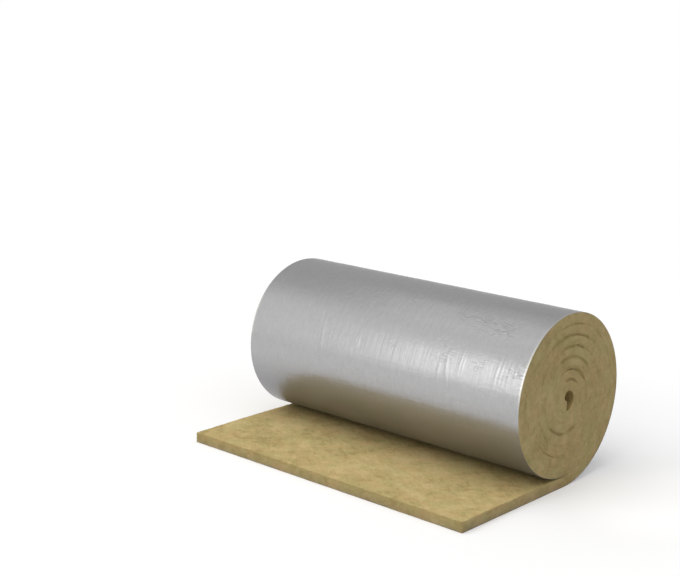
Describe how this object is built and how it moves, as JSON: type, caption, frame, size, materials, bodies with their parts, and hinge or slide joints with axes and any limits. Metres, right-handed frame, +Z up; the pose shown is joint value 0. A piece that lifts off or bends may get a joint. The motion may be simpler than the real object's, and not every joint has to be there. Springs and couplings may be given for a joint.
{
  "type": "insulation roll",
  "caption": "Foil-faced stone wool insulation mat wound into a roll lying on its side, with its free end unrolled as a flat flap in front.",
  "frame": {"origin": "on the floor, in the middle of the footprint of the roll and its flap", "axes": "+X along the roll, across the mat; -Y towards the free end of the flap; +Z up"},
  "size_m": [1, 0.6996, 0.4913],
  "materials": {
    "stone_wool": "matt mottled ochre stone wool with lighter and darker fibres",
    "aluminium_foil": "satin foil with fine wrinkles round the roll"
  },
  "bodies": {
    "root": {"stone_wool_mat": "stone_wool", "foil_facing": "aluminium_foil"}
  },
  "joints": []
}
